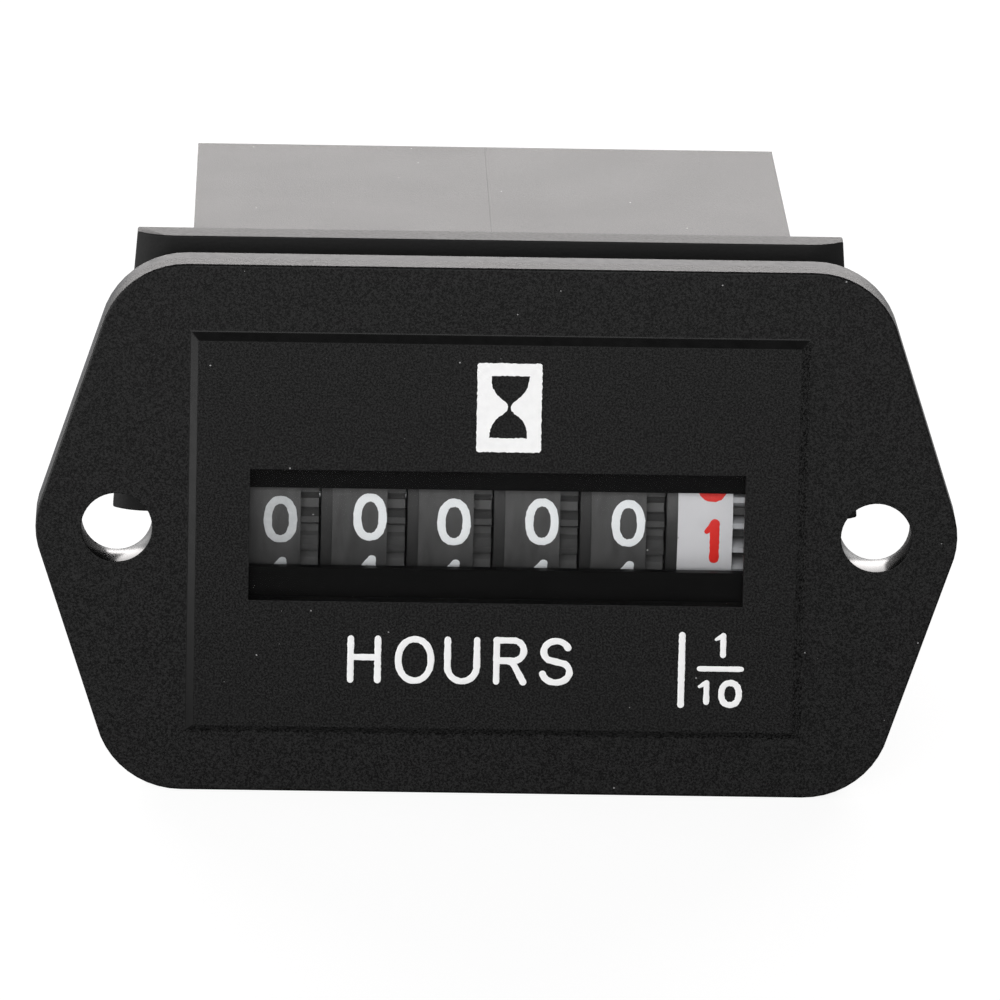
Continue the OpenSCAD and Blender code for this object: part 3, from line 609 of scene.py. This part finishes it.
acetal = Finish("natural_acetal", {"Specular IOR Level": 0.5})
skin = acetal.noise(1400, 3)
acetal.set({
    "Base Color": acetal.mix(skin, (0.66, 0.62, 0.50, 1), (0.78, 0.75, 0.64, 1)),
    "Roughness": 0.35 + 0.15 * skin,
})
acetal.bump(skin, 0.004 * MM, 0.25)
acetal.paint(nodes["wheel_spacers"])


# Hour wheels: five grey number wheels, moulded with their ring gear and carry
# ring, with white numerals hot stamped on the rim. Each stands a little off its place.

shaft_low, shaft_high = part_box("wheel_shaft")
wheel_y = (shaft_low.y + shaft_high.y) / 2
wheel_r = 6.25 * MM
wheel_pitch, band_w, gear_w = 5.13 * MM, 3.25 * MM, 1.08 * MM
first_band = -14.855 * MM
tooth_root, tooth_tip = wheel_r - 1.0 * MM, wheel_r - 0.2 * MM


def tooth_depth(finish):
    """0 on the tips of a wheel's teeth and 1 between them."""
    low_y, low_z = finish.along("Y") - wheel_y, finish.along("Z")
    reach = (low_y * low_y + low_z * low_z).root()
    return finish.add("ShaderNodeMapRange", {}, {
        "Value": reach, "From Min": tooth_root, "From Max": tooth_tip, "To Min": 1.0, "To Max": 0.0})


wheel_grey = Finish("wheel_grey", {"Specular IOR Level": 0.25})
sweep = wheel_grey.noise(420, 3, (4, 1, 1))
fluff = wheel_grey.specks(900, 0.05, 0.25)
along = wheel_grey.along("X") - first_band
step = along.math("FLOORED_MODULO", along, wheel_pitch)
on_band = step < band_w
on_gear = (step > band_w) * (step < band_w + gear_w)
depth = tooth_depth(wheel_grey)
# The gear is coloured paler between its teeth than on their tips, painted fill light that evens out the
# shade between them; the gear's tips and the carry ring are coloured darker than the rim, painted shade of
# these lower zones.
rim = wheel_grey.mix(sweep, grey(0.034), grey(0.096))
gear = wheel_grey.mix(depth, grey(0.040), grey(0.088))
plastic = wheel_grey.mix(on_band, wheel_grey.mix(on_gear, grey(0.029), gear), rim)
wheel_grey.set({
    "Base Color": wheel_grey.mix(fluff, plastic, grey(0.5)),
    "Roughness": 0.45 + 0.2 * sweep,
})
wheel_grey.bump(sweep, 0.004 * MM, 0.3)


def number_ink(name, deep, pale):
    ink = Finish(name, {"Specular IOR Level": 0.3})
    wear = ink.noise(3200, 3)
    ink.set({"Base Color": ink.mix(wear, pale, deep), "Roughness": 0.45 + 0.2 * wear})
    ink.bump(wear, 0.006 * MM, 0.3)
    return ink


numeral_white = number_ink("numeral_white", (0.85, 0.88, 0.90, 1), (0.94, 0.97, 0.98, 1))
# The first wheel's numerals are coloured greyer than the others.
numeral_grey = number_ink("numeral_grey", (0.46, 0.48, 0.49, 1), (0.68, 0.70, 0.71, 1))

numeral_h, numeral_w, numeral_pen = 2.9 * MM, 1.99 * MM, 0.49 * MM
digit_turn = 36


def numerals(x, shown, lean, width, stroke):
    """Ten numerals round a rim, the shown one in front; lean lifts it from the middle, in degrees."""
    signs = []
    for digit in range(10):
        box = (-width / 2, width / 2, -numeral_h / 2, numeral_h / 2)
        middle = radians(lean - digit_turn * (digit - shown))
        for piece in pen_sign(str(digit), box, stroke):
            for corner in piece.data.vertices:
                turn = middle + corner.co.y / wheel_r
                reach = wheel_r + corner.co.z
                corner.co = (x + corner.co.x, wheel_y - reach * cos(turn), reach * sin(turn))
            signs.append(piece)
    return join(signs)


# For each wheel, the middle of its numerals in mm and the degrees that the shown one stands high.
hour_wheels = (
    ("ten_thousands", -12.80, 0.6), ("thousands", -7.49, 2.5), ("hundreds", -2.50, 0.3),
    ("tens", 2.72, 1.2), ("units", 7.85, 1.0),
)
for name, x, lean in hour_wheels:
    wheel_grey.paint(nodes[name + "_wheel"])
    ring = numerals(x * MM, 0, lean, numeral_w, numeral_pen)
    (numeral_grey if name == "ten_thousands" else numeral_white).paint(ring)
    put_in(ring, name + "_numerals", name)


# Tenths wheel: the same moulding in white with red numerals, a gear of its own
# on the right that the motor's train drives, and a locking ring. The locking ring is coloured
# dark grey and the gear dark between its teeth, both painted shade.

wheel_white = Finish("wheel_white", {"Specular IOR Level": 0.35})
haze = wheel_white.noise(500, 3)
soot = wheel_white.specks(1300, 0.06, 0.07)
band_left = first_band + 5 * wheel_pitch
on_lock = wheel_white.along("X") < band_left
on_drive = wheel_white.along("X") > band_left + band_w
drum = wheel_white.mix(haze, (0.60, 0.60, 0.62, 1), (0.72, 0.72, 0.74, 1))
# Pale on the tips of the drive gear's teeth and dark between them: painted shade. Dark grey on the locking
# ring: painted shade.
drive = wheel_white.mix(tooth_depth(wheel_white), (0.52, 0.53, 0.55, 1), grey(0.05))
drum = wheel_white.mix(on_drive, wheel_white.mix(on_lock, drum, grey(0.032)), drive)
wheel_white.set({
    "Base Color": wheel_white.mix(soot, drum, grey(0.1)),
    "Roughness": 0.4 + 0.15 * haze,
})
wheel_white.bump(haze, 0.004 * MM, 0.3)
wheel_white.paint(nodes["tenths_wheel"])

numeral_red = number_ink("numeral_red", (0.68, 0.016, 0.012, 1), (0.85, 0.032, 0.022, 1))
red_mid, red_lean, red_w, red_pen = 12.84 * MM, -9.0, 2.05 * MM, 0.58 * MM
red_ring = numerals(red_mid, 1, red_lean, red_w, red_pen)
numeral_red.paint(red_ring)
put_in(red_ring, "tenths_numerals", "tenths")


# Pinions and gear train: small acetal mouldings that run dry on steel or on
# their own moulded pivots, between the right cheek and the gear plate.

pinions = [nodes[f"transfer_pinion_{k}"] for k in range(1, 6)]
acetal.paint(*pinions, nodes["drive_gear"], nodes["idler_gear"], nodes["gear_plate"])


# Step motor: a sintered ring magnet in a stamped and annealed sheet stator, and
# a coil of enamelled copper wire on a moulded bobbin, held by four screws.

acetal.paint(nodes["rotor"], nodes["motor_bridge"], nodes["coil_bobbin"])
steel.paint(nodes["motor_screws"])

sintered = Finish("sintered_magnet", {"Metallic": 0.6})
pores = sintered.noise(6000, 4)
sintered.set({
    "Base Color": sintered.mix(pores, grey(0.05), grey(0.11)),
    "Roughness": 0.5 + 0.3 * pores,
})
sintered.bump(pores, 0.01 * MM, 0.5)
sintered.paint(nodes["rotor_magnet"])

sheet_steel = Finish("annealed_sheet", {"Metallic": 1.0})
scale_film = sheet_steel.noise(800, 4)
sheet_steel.set({
    "Base Color": sheet_steel.mix(scale_film, (0.30, 0.31, 0.34, 1), (0.46, 0.46, 0.47, 1)),
    "Roughness": 0.35 + 0.2 * scale_film,
})
sheet_steel.bump(scale_film, 0.003 * MM, 0.3)
sheet_steel.paint(nodes["stator"], nodes["coil_core"])

copper = Finish("enamelled_wire", {"Metallic": 1.0, "Coat Weight": 0.5, "Coat Roughness": 0.2})
wire_pitch = 0.12 * MM
wave = copper.along("Y") * (2 * pi / wire_pitch)
turns = wave.math("SINE", wave) * 0.5 + 0.5
# The wire is coloured dark in the grooves between turns and pale on their crowns: painted shade and
# painted highlight.
copper.set({
    "Base Color": copper.mix(turns, (0.20, 0.05, 0.015, 1), (0.62, 0.22, 0.08, 1)),
    "Roughness": 0.25 + 0.15 * copper.noise(2000),
})
copper.bump(turns, 0.03 * MM, 0.8)
copper.paint(nodes["coil_winding"])

tinned = Finish("tinned_brass", {"Metallic": 1.0})
wipe = tinned.noise(600, 3, (1, 0.25, 1))
tinned.set({
    "Base Color": tinned.mix(wipe, (0.60, 0.57, 0.50, 1), (0.74, 0.72, 0.68, 1)),
    "Roughness": 0.24 + 0.2 * wipe,
})
tinned.bump(wipe, 0.003 * MM, 0.3)
tinned.paint(nodes["coil_pins"])


# Circuit board: glass epoxy with a green mask, drilled for the leads, held on
# two pins of the rear cover. Its parts are soldered in from the back.

board_green = Finish("board_green", {"Specular IOR Level": 0.5})
weave = board_green.add("ShaderNodeTexBrick", {}, {
    "Vector": board_green.place, "Scale": 900.0, "Mortar Size": 0.06,
    "Color1": grey(1), "Color2": grey(0.8), "Mortar": grey(0.4)})
tone = board_green.noise(200, 3)
laminate = board_green.mix(0.5, (0.015, 0.10, 0.035, 1), weave)
board_green.set({
    "Base Color": board_green.mix(tone, laminate, (0.03, 0.17, 0.06, 1)),
    "Roughness": 0.3 + 0.15 * tone,
})
board_green.bump(tone, 0.004 * MM, 0.2)
board_green.paint(nodes["circuit_board"])

epoxy = Finish("moulded_epoxy", {"Specular IOR Level": 0.4})
filler = epoxy.noise(9000, 3)
epoxy.set({"Base Color": epoxy.mix(filler, grey(0.012), grey(0.03)), "Roughness": 0.5 + 0.2 * filler})
epoxy.bump(filler, 0.008 * MM, 0.4)
epoxy.paint(nodes["timing_chip"])

steel.paint(nodes["quartz_crystal"])

# Sizes and places of the banded parts are in mm along X; all three have their middle at part_x.
solder_tin = (0.66, 0.66, 0.65, 1)
part_x = -2


def banded(name, body_pale, body_deep, half, bands):
    """Finish of a part with tinned leads: its own colour within half of its middle, and rings along X."""
    finish = Finish(name, {"Specular IOR Level": 0.5})
    along = finish.along("X")
    mottle = finish.noise(1800, 3)
    colour = finish.mix(mottle, body_pale, body_deep)
    for place, width, ring in bands:
        inside = (along > (place - width / 2) * MM) * (along < (place + width / 2) * MM)
        colour = finish.mix(inside, colour, ring)
    on_body = (along > (part_x - half) * MM) * (along < (part_x + half) * MM)
    finish.set({
        "Base Color": finish.mix(on_body, solder_tin, colour),
        "Metallic": 1 - on_body,
        "Roughness": 0.3 + 0.15 * mottle,
    })
    finish.bump(mottle, 0.006 * MM, 0.2)
    return finish


sleeve_stripe = ((-5.2, 0.7, grey(0.6)),)
banded("capacitor_sleeve", (0.03, 0.05, 0.20, 1), (0.02, 0.03, 0.13, 1), 4.0,
       sleeve_stripe).paint(nodes["capacitor"])
diode_ring = ((-3.8, 0.5, grey(0.55)),)
banded("diode_body", grey(0.015), grey(0.025), 2.5, diode_ring).paint(nodes["diode"])
resistor_rings = (
    (-4.3, 0.5, (0.35, 0.08, 0.02, 1)), (-3.1, 0.5, grey(0.01)),
    (-1.9, 0.5, (0.6, 0.2, 0.01, 1)), (0.4, 0.5, (0.5, 0.36, 0.1, 1)),
)
banded("resistor_body", (0.60, 0.42, 0.22, 1), (0.50, 0.34, 0.16, 1), 3.15,
       resistor_rings).paint(nodes["resistor"])


# Rear cover: a plate of the same black ABS, glued flush into the body's end,
# with the two blades pushed through its slots and a sign moulded beside each.

cover_round = 0.15 * MM
softened("rear_cover", "cover_plate", cover_round, "case", case_black)
cover_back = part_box("rear_cover")[1].y
blade_x = 8.0 * MM
sign_z, sign_size, sign_w, sign_t = 6.2 * MM, 2.4 * MM, 0.5 * MM, 0.4 * MM
sign_round = 0.12 * MM
bars = ((-blade_x, sign_size, sign_w), (-blade_x, sign_w, sign_size), (blade_x, sign_size, sign_w))
sign_parts = []
for x, wide, high in bars:
    deselect()
    bpy.ops.mesh.primitive_cube_add(size=1, location=(x, cover_back, sign_z))
    bar = bpy.context.object
    bar.scale = (wide, sign_t, high)
    bpy.ops.object.transform_apply(location=True, rotation=True, scale=True)
    bevel = bar.modifiers.new("edge", "BEVEL")
    bevel.width = sign_round
    bevel.segments = 2
    bpy.ops.object.modifier_apply(modifier=bevel.name)
    sign_parts.append(bar)
pole_signs = join(sign_parts)
case_black.paint(pole_signs)
put_in(pole_signs, "pole_signs", "case")


# Blade terminals: 0.8 mm brass strip, stamped, tinned and pushed through the
# cover, with a hole in each blade that the push-on sleeve snaps into.

blade_round = 0.09 * MM
for node, name in (("positive_terminal", "positive_blade"), ("negative_terminal", "negative_blade")):
    softened(node, name, blade_round, "case", tinned)


# Retaining clip: a yoke in matt black nylon that pushes up over the body from
# behind and presses on the panel's back. Here it hangs loose, a little to the left.

clip_black = Finish("clip_black", {"Specular IOR Level": 0.2})
knit = clip_black.noise(5200, 3)
lint = clip_black.specks(700, 0.05, 0.08)
clip_black.set({
    "Base Color": clip_black.mix(lint, clip_black.mix(knit, grey(0.002), grey(0.008)), grey(0.25)),
    "Roughness": 0.50 + 0.16 * knit,
})
clip_black.bump(knit, 0.03 * MM, 0.5)
clip_round = 0.10 * MM
softened("retaining_clip", "clip_yoke", clip_round, "clip", clip_black, flat=0.02)


# Studio: a white floor that the flange stands on, a room that is bright near the horizon and dark
# overhead, and four soft lamps: in front, on the left, close by the left edge and behind.

floor_size, floor_gap = 6, 0.02 * MM
floor_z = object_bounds()[0].z - floor_gap
deselect()
bpy.ops.mesh.primitive_plane_add(size=floor_size, location=(0, 0, floor_z))
floor = bpy.context.object
floor.name = "floor"
floor_white = bpy.data.materials.new("floor_white")
floor_white.use_nodes = True
paper = ShaderTree(floor_white.node_tree)
paper.tree.nodes.clear()


def ray(tree, *kinds):
    """1 on the named kinds of ray."""
    parts = [tree.add("ShaderNodeLightPath", out=f"Is {kind} Ray") for kind in kinds]
    total = parts[0]
    for part in parts[1:]:
        total = total + part
    return total.math("MINIMUM", total, 1.0)


# The floor is seen as white with a faint shadow. A gloss sees it darker close to the meter:
# a painted shade of the meter on it.
floor_level = 0.88
shade_mid, shade_r, clear_r = (0.02, -0.01, floor_z), 0.05, 0.16
shade = paper.add("ShaderNodeBsdfDiffuse", {}, {"Color": grey(0.22)})
spot = paper.add("ShaderNodeNewGeometry", out="Position")
reach = paper.add("ShaderNodeVectorMath", {"operation": "DISTANCE"}, {0: spot, 1: shade_mid}, out="Value")
near = paper.add("ShaderNodeMapRange", {"interpolation_type": "SMOOTHSTEP"}, {
    "Value": reach, "From Min": shade_r, "From Max": clear_r, "To Min": 0.0, "To Max": floor_level})
level = floor_level * ray(paper, "Camera", "Transmission") + near * ray(paper, "Glossy")
glow = paper.add("ShaderNodeEmission", {}, {"Color": level, "Strength": 1.0})
seen = paper.add("ShaderNodeAddShader", {}, {0: shade, 1: glow})
plain = paper.add("ShaderNodeBsdfDiffuse", {}, {"Color": grey(0.8)})
looked_at = ray(paper, "Camera", "Transmission", "Glossy")
surface = paper.add("ShaderNodeMixShader", {}, {0: looked_at, 1: plain, 2: seen})
output = paper.tree.nodes.new("ShaderNodeOutputMaterial")
paper.feed(output.inputs["Surface"], surface)
floor.data.materials.append(floor_white)

world = bpy.data.worlds.new("studio")
bpy.context.scene.world = world
world.use_nodes = True
room = ShaderTree(world.node_tree)
background = world.node_tree.nodes["Background"]
way = room.add("ShaderNodeTexCoord", out="Generated")
aside = room.add("ShaderNodeSeparateXYZ", {}, {0: way}, out="X")
height = room.add("ShaderNodeSeparateXYZ", {}, {0: way}, out="Z")


def dimmed(way_part, start, end, least):
    """Brightness of the room, falling from 1 to the least between two parts of the way looked."""
    return room.add("ShaderNodeMapRange", {"interpolation_type": "SMOOTHSTEP"}, {
        "Value": way_part, "From Min": start, "From Max": end, "To Min": 1.0, "To Max": least})


overhead = dimmed(height, 0.45, 0.85, 0.10)
right_wall = dimmed(aside, 0.1, 0.8, 0.35)
studio = overhead * right_wall * (0.6 + 0.4 * ray(room, "Glossy"))
level = studio.math("MAXIMUM", studio, ray(room, "Camera", "Transmission"))
room.feed(background.inputs["Color"], level)
room.feed(background.inputs["Strength"], 1.0)


def soft_lamp(name, place, target, size, power, colour=(1, 1, 1)):
    lamp = bpy.data.lights.new(name, "AREA")
    lamp.color = colour
    lamp.shape = "RECTANGLE"
    lamp.size, lamp.size_y = size
    lamp.energy = power
    holder = bpy.data.objects.new(name, lamp)
    bpy.context.scene.collection.objects.link(holder)
    holder.location = place
    holder.rotation_euler = (Vector(target) - Vector(place)).to_track_quat("-Z", "Y").to_euler()
    holder.visible_camera = False


# The low lamp is small and weak, and lights only the slope on the left of the raised panel.
soft_lamp("front_lamp", place=(-0.11, -0.85, 0.24), target=(0, 0, 0), size=(0.5, 0.4), power=4.8)
soft_lamp("left_lamp", place=(-0.8, -0.05, 0.12), target=(0, 0, 0), size=(0.5, 0.4), power=3.0)
soft_lamp("low_lamp", place=(-0.058, -0.0065, -0.006), target=(-0.018, -0.004, -0.004),
          size=(0.006, 0.018), power=0.0028)
soft_lamp("back_lamp", place=(0, 0.8, 0.32), target=(0, 0.02, 0), size=(1.2, 0.5), power=11.2,
          colour=(1.0, 0.965, 0.955))

# The camera stands where the photograph was taken: a long lens, a little above and to the left.
camera_el, camera_az, camera_roll = radians(15.647), radians(-1.50), radians(1.225)
camera_d, camera_x, camera_z = 737.28 * MM, 0.2197 * MM, 1.2416 * MM
camera_f, sensor = 12.4178, 36  # focal length in widths of the sensor, and that width in mm
back = Vector((sin(camera_az) * cos(camera_el), -cos(camera_az) * cos(camera_el), sin(camera_el)))
right = Vector((cos(camera_az), sin(camera_az), 0))
up = back.cross(right)
rolled_right = cos(camera_roll) * right + sin(camera_roll) * up
rolled_up = cos(camera_roll) * up - sin(camera_roll) * right
camera_data = bpy.data.cameras.new("camera")
camera_data.sensor_fit = "HORIZONTAL"
camera_data.sensor_width = sensor
camera_data.lens = sensor * camera_f
camera_data.clip_start = 0.01
camera = bpy.data.objects.new("camera", camera_data)
bpy.context.scene.collection.objects.link(camera)
turn = Matrix((rolled_right, rolled_up, back)).transposed()
camera.matrix_world = Matrix.Translation(back * camera_d + Vector((camera_x, 0, camera_z))) @ turn.to_4x4()
bpy.context.scene.camera = camera
bpy.context.scene.view_settings.view_transform = "Standard"
